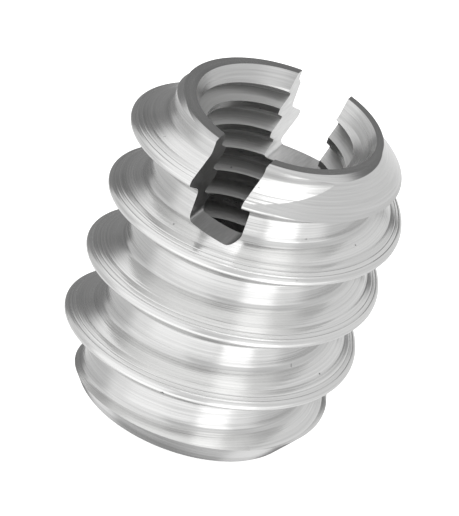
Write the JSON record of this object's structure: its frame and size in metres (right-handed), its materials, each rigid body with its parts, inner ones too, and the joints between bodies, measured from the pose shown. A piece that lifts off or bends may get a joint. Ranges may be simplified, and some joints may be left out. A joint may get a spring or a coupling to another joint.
{
  "type": "threaded insert",
  "caption": "Self-tapping threaded insert: a slotted metal bush with a coarse knife thread outside and a plain-walled hole for a machine screw.",
  "frame": {"origin": "centre of the flat end that the insert stands on, on the thread's axis", "axes": "+Z along the axis towards the slotted end, +Y along the driver slot, +X across it"},
  "size_m": [0.0132, 0.0132, 0.0154],
  "materials": {
    "turned_steel": "bright turned steel with fine turning marks"
  },
  "bodies": {
    "root": {"insert_body": "turned_steel"}
  },
  "joints": []
}
